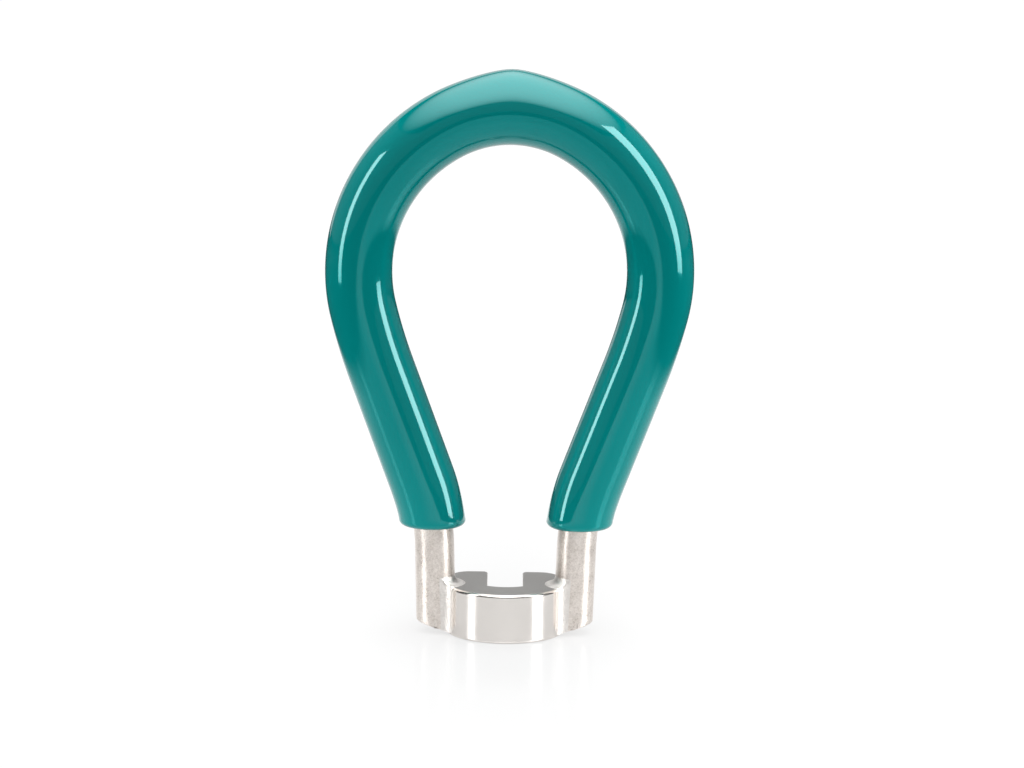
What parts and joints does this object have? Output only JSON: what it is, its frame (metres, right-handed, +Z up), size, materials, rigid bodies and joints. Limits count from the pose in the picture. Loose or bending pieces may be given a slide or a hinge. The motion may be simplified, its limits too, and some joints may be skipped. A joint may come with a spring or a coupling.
{
  "type": "spoke wrench",
  "caption": "Bicycle spoke wrench: a short slotted steel head brazed between the ends of a bent steel rod, with a dipped vinyl skin over the loop that is its handle.",
  "frame": {"origin": "on the head's underside, at the axis of the seated nipple, which is also the middle of the head's round", "axes": "+Z up from the head to the crown of the loop, +Y out of the slot's mouth and away from the camera, +X to the right as the picture shows it"},
  "size_m": [0.0344, 0.011, 0.0535],
  "materials": {
    "head_steel": "nickel plated over a turned and ground surface",
    "rod_steel": "nickel plated over a mottled drawn surface",
    "braze_metal": "nickel plated over a mottled brazed surface",
    "green_vinyl": "glossy dipped vinyl, blue-green"
  },
  "bodies": {
    "root": {"jaw_head": "head_steel", "rod_loop": "rod_steel", "braze_left": "braze_metal", "braze_right": "braze_metal", "vinyl_grip": "green_vinyl"}
  },
  "joints": []
}
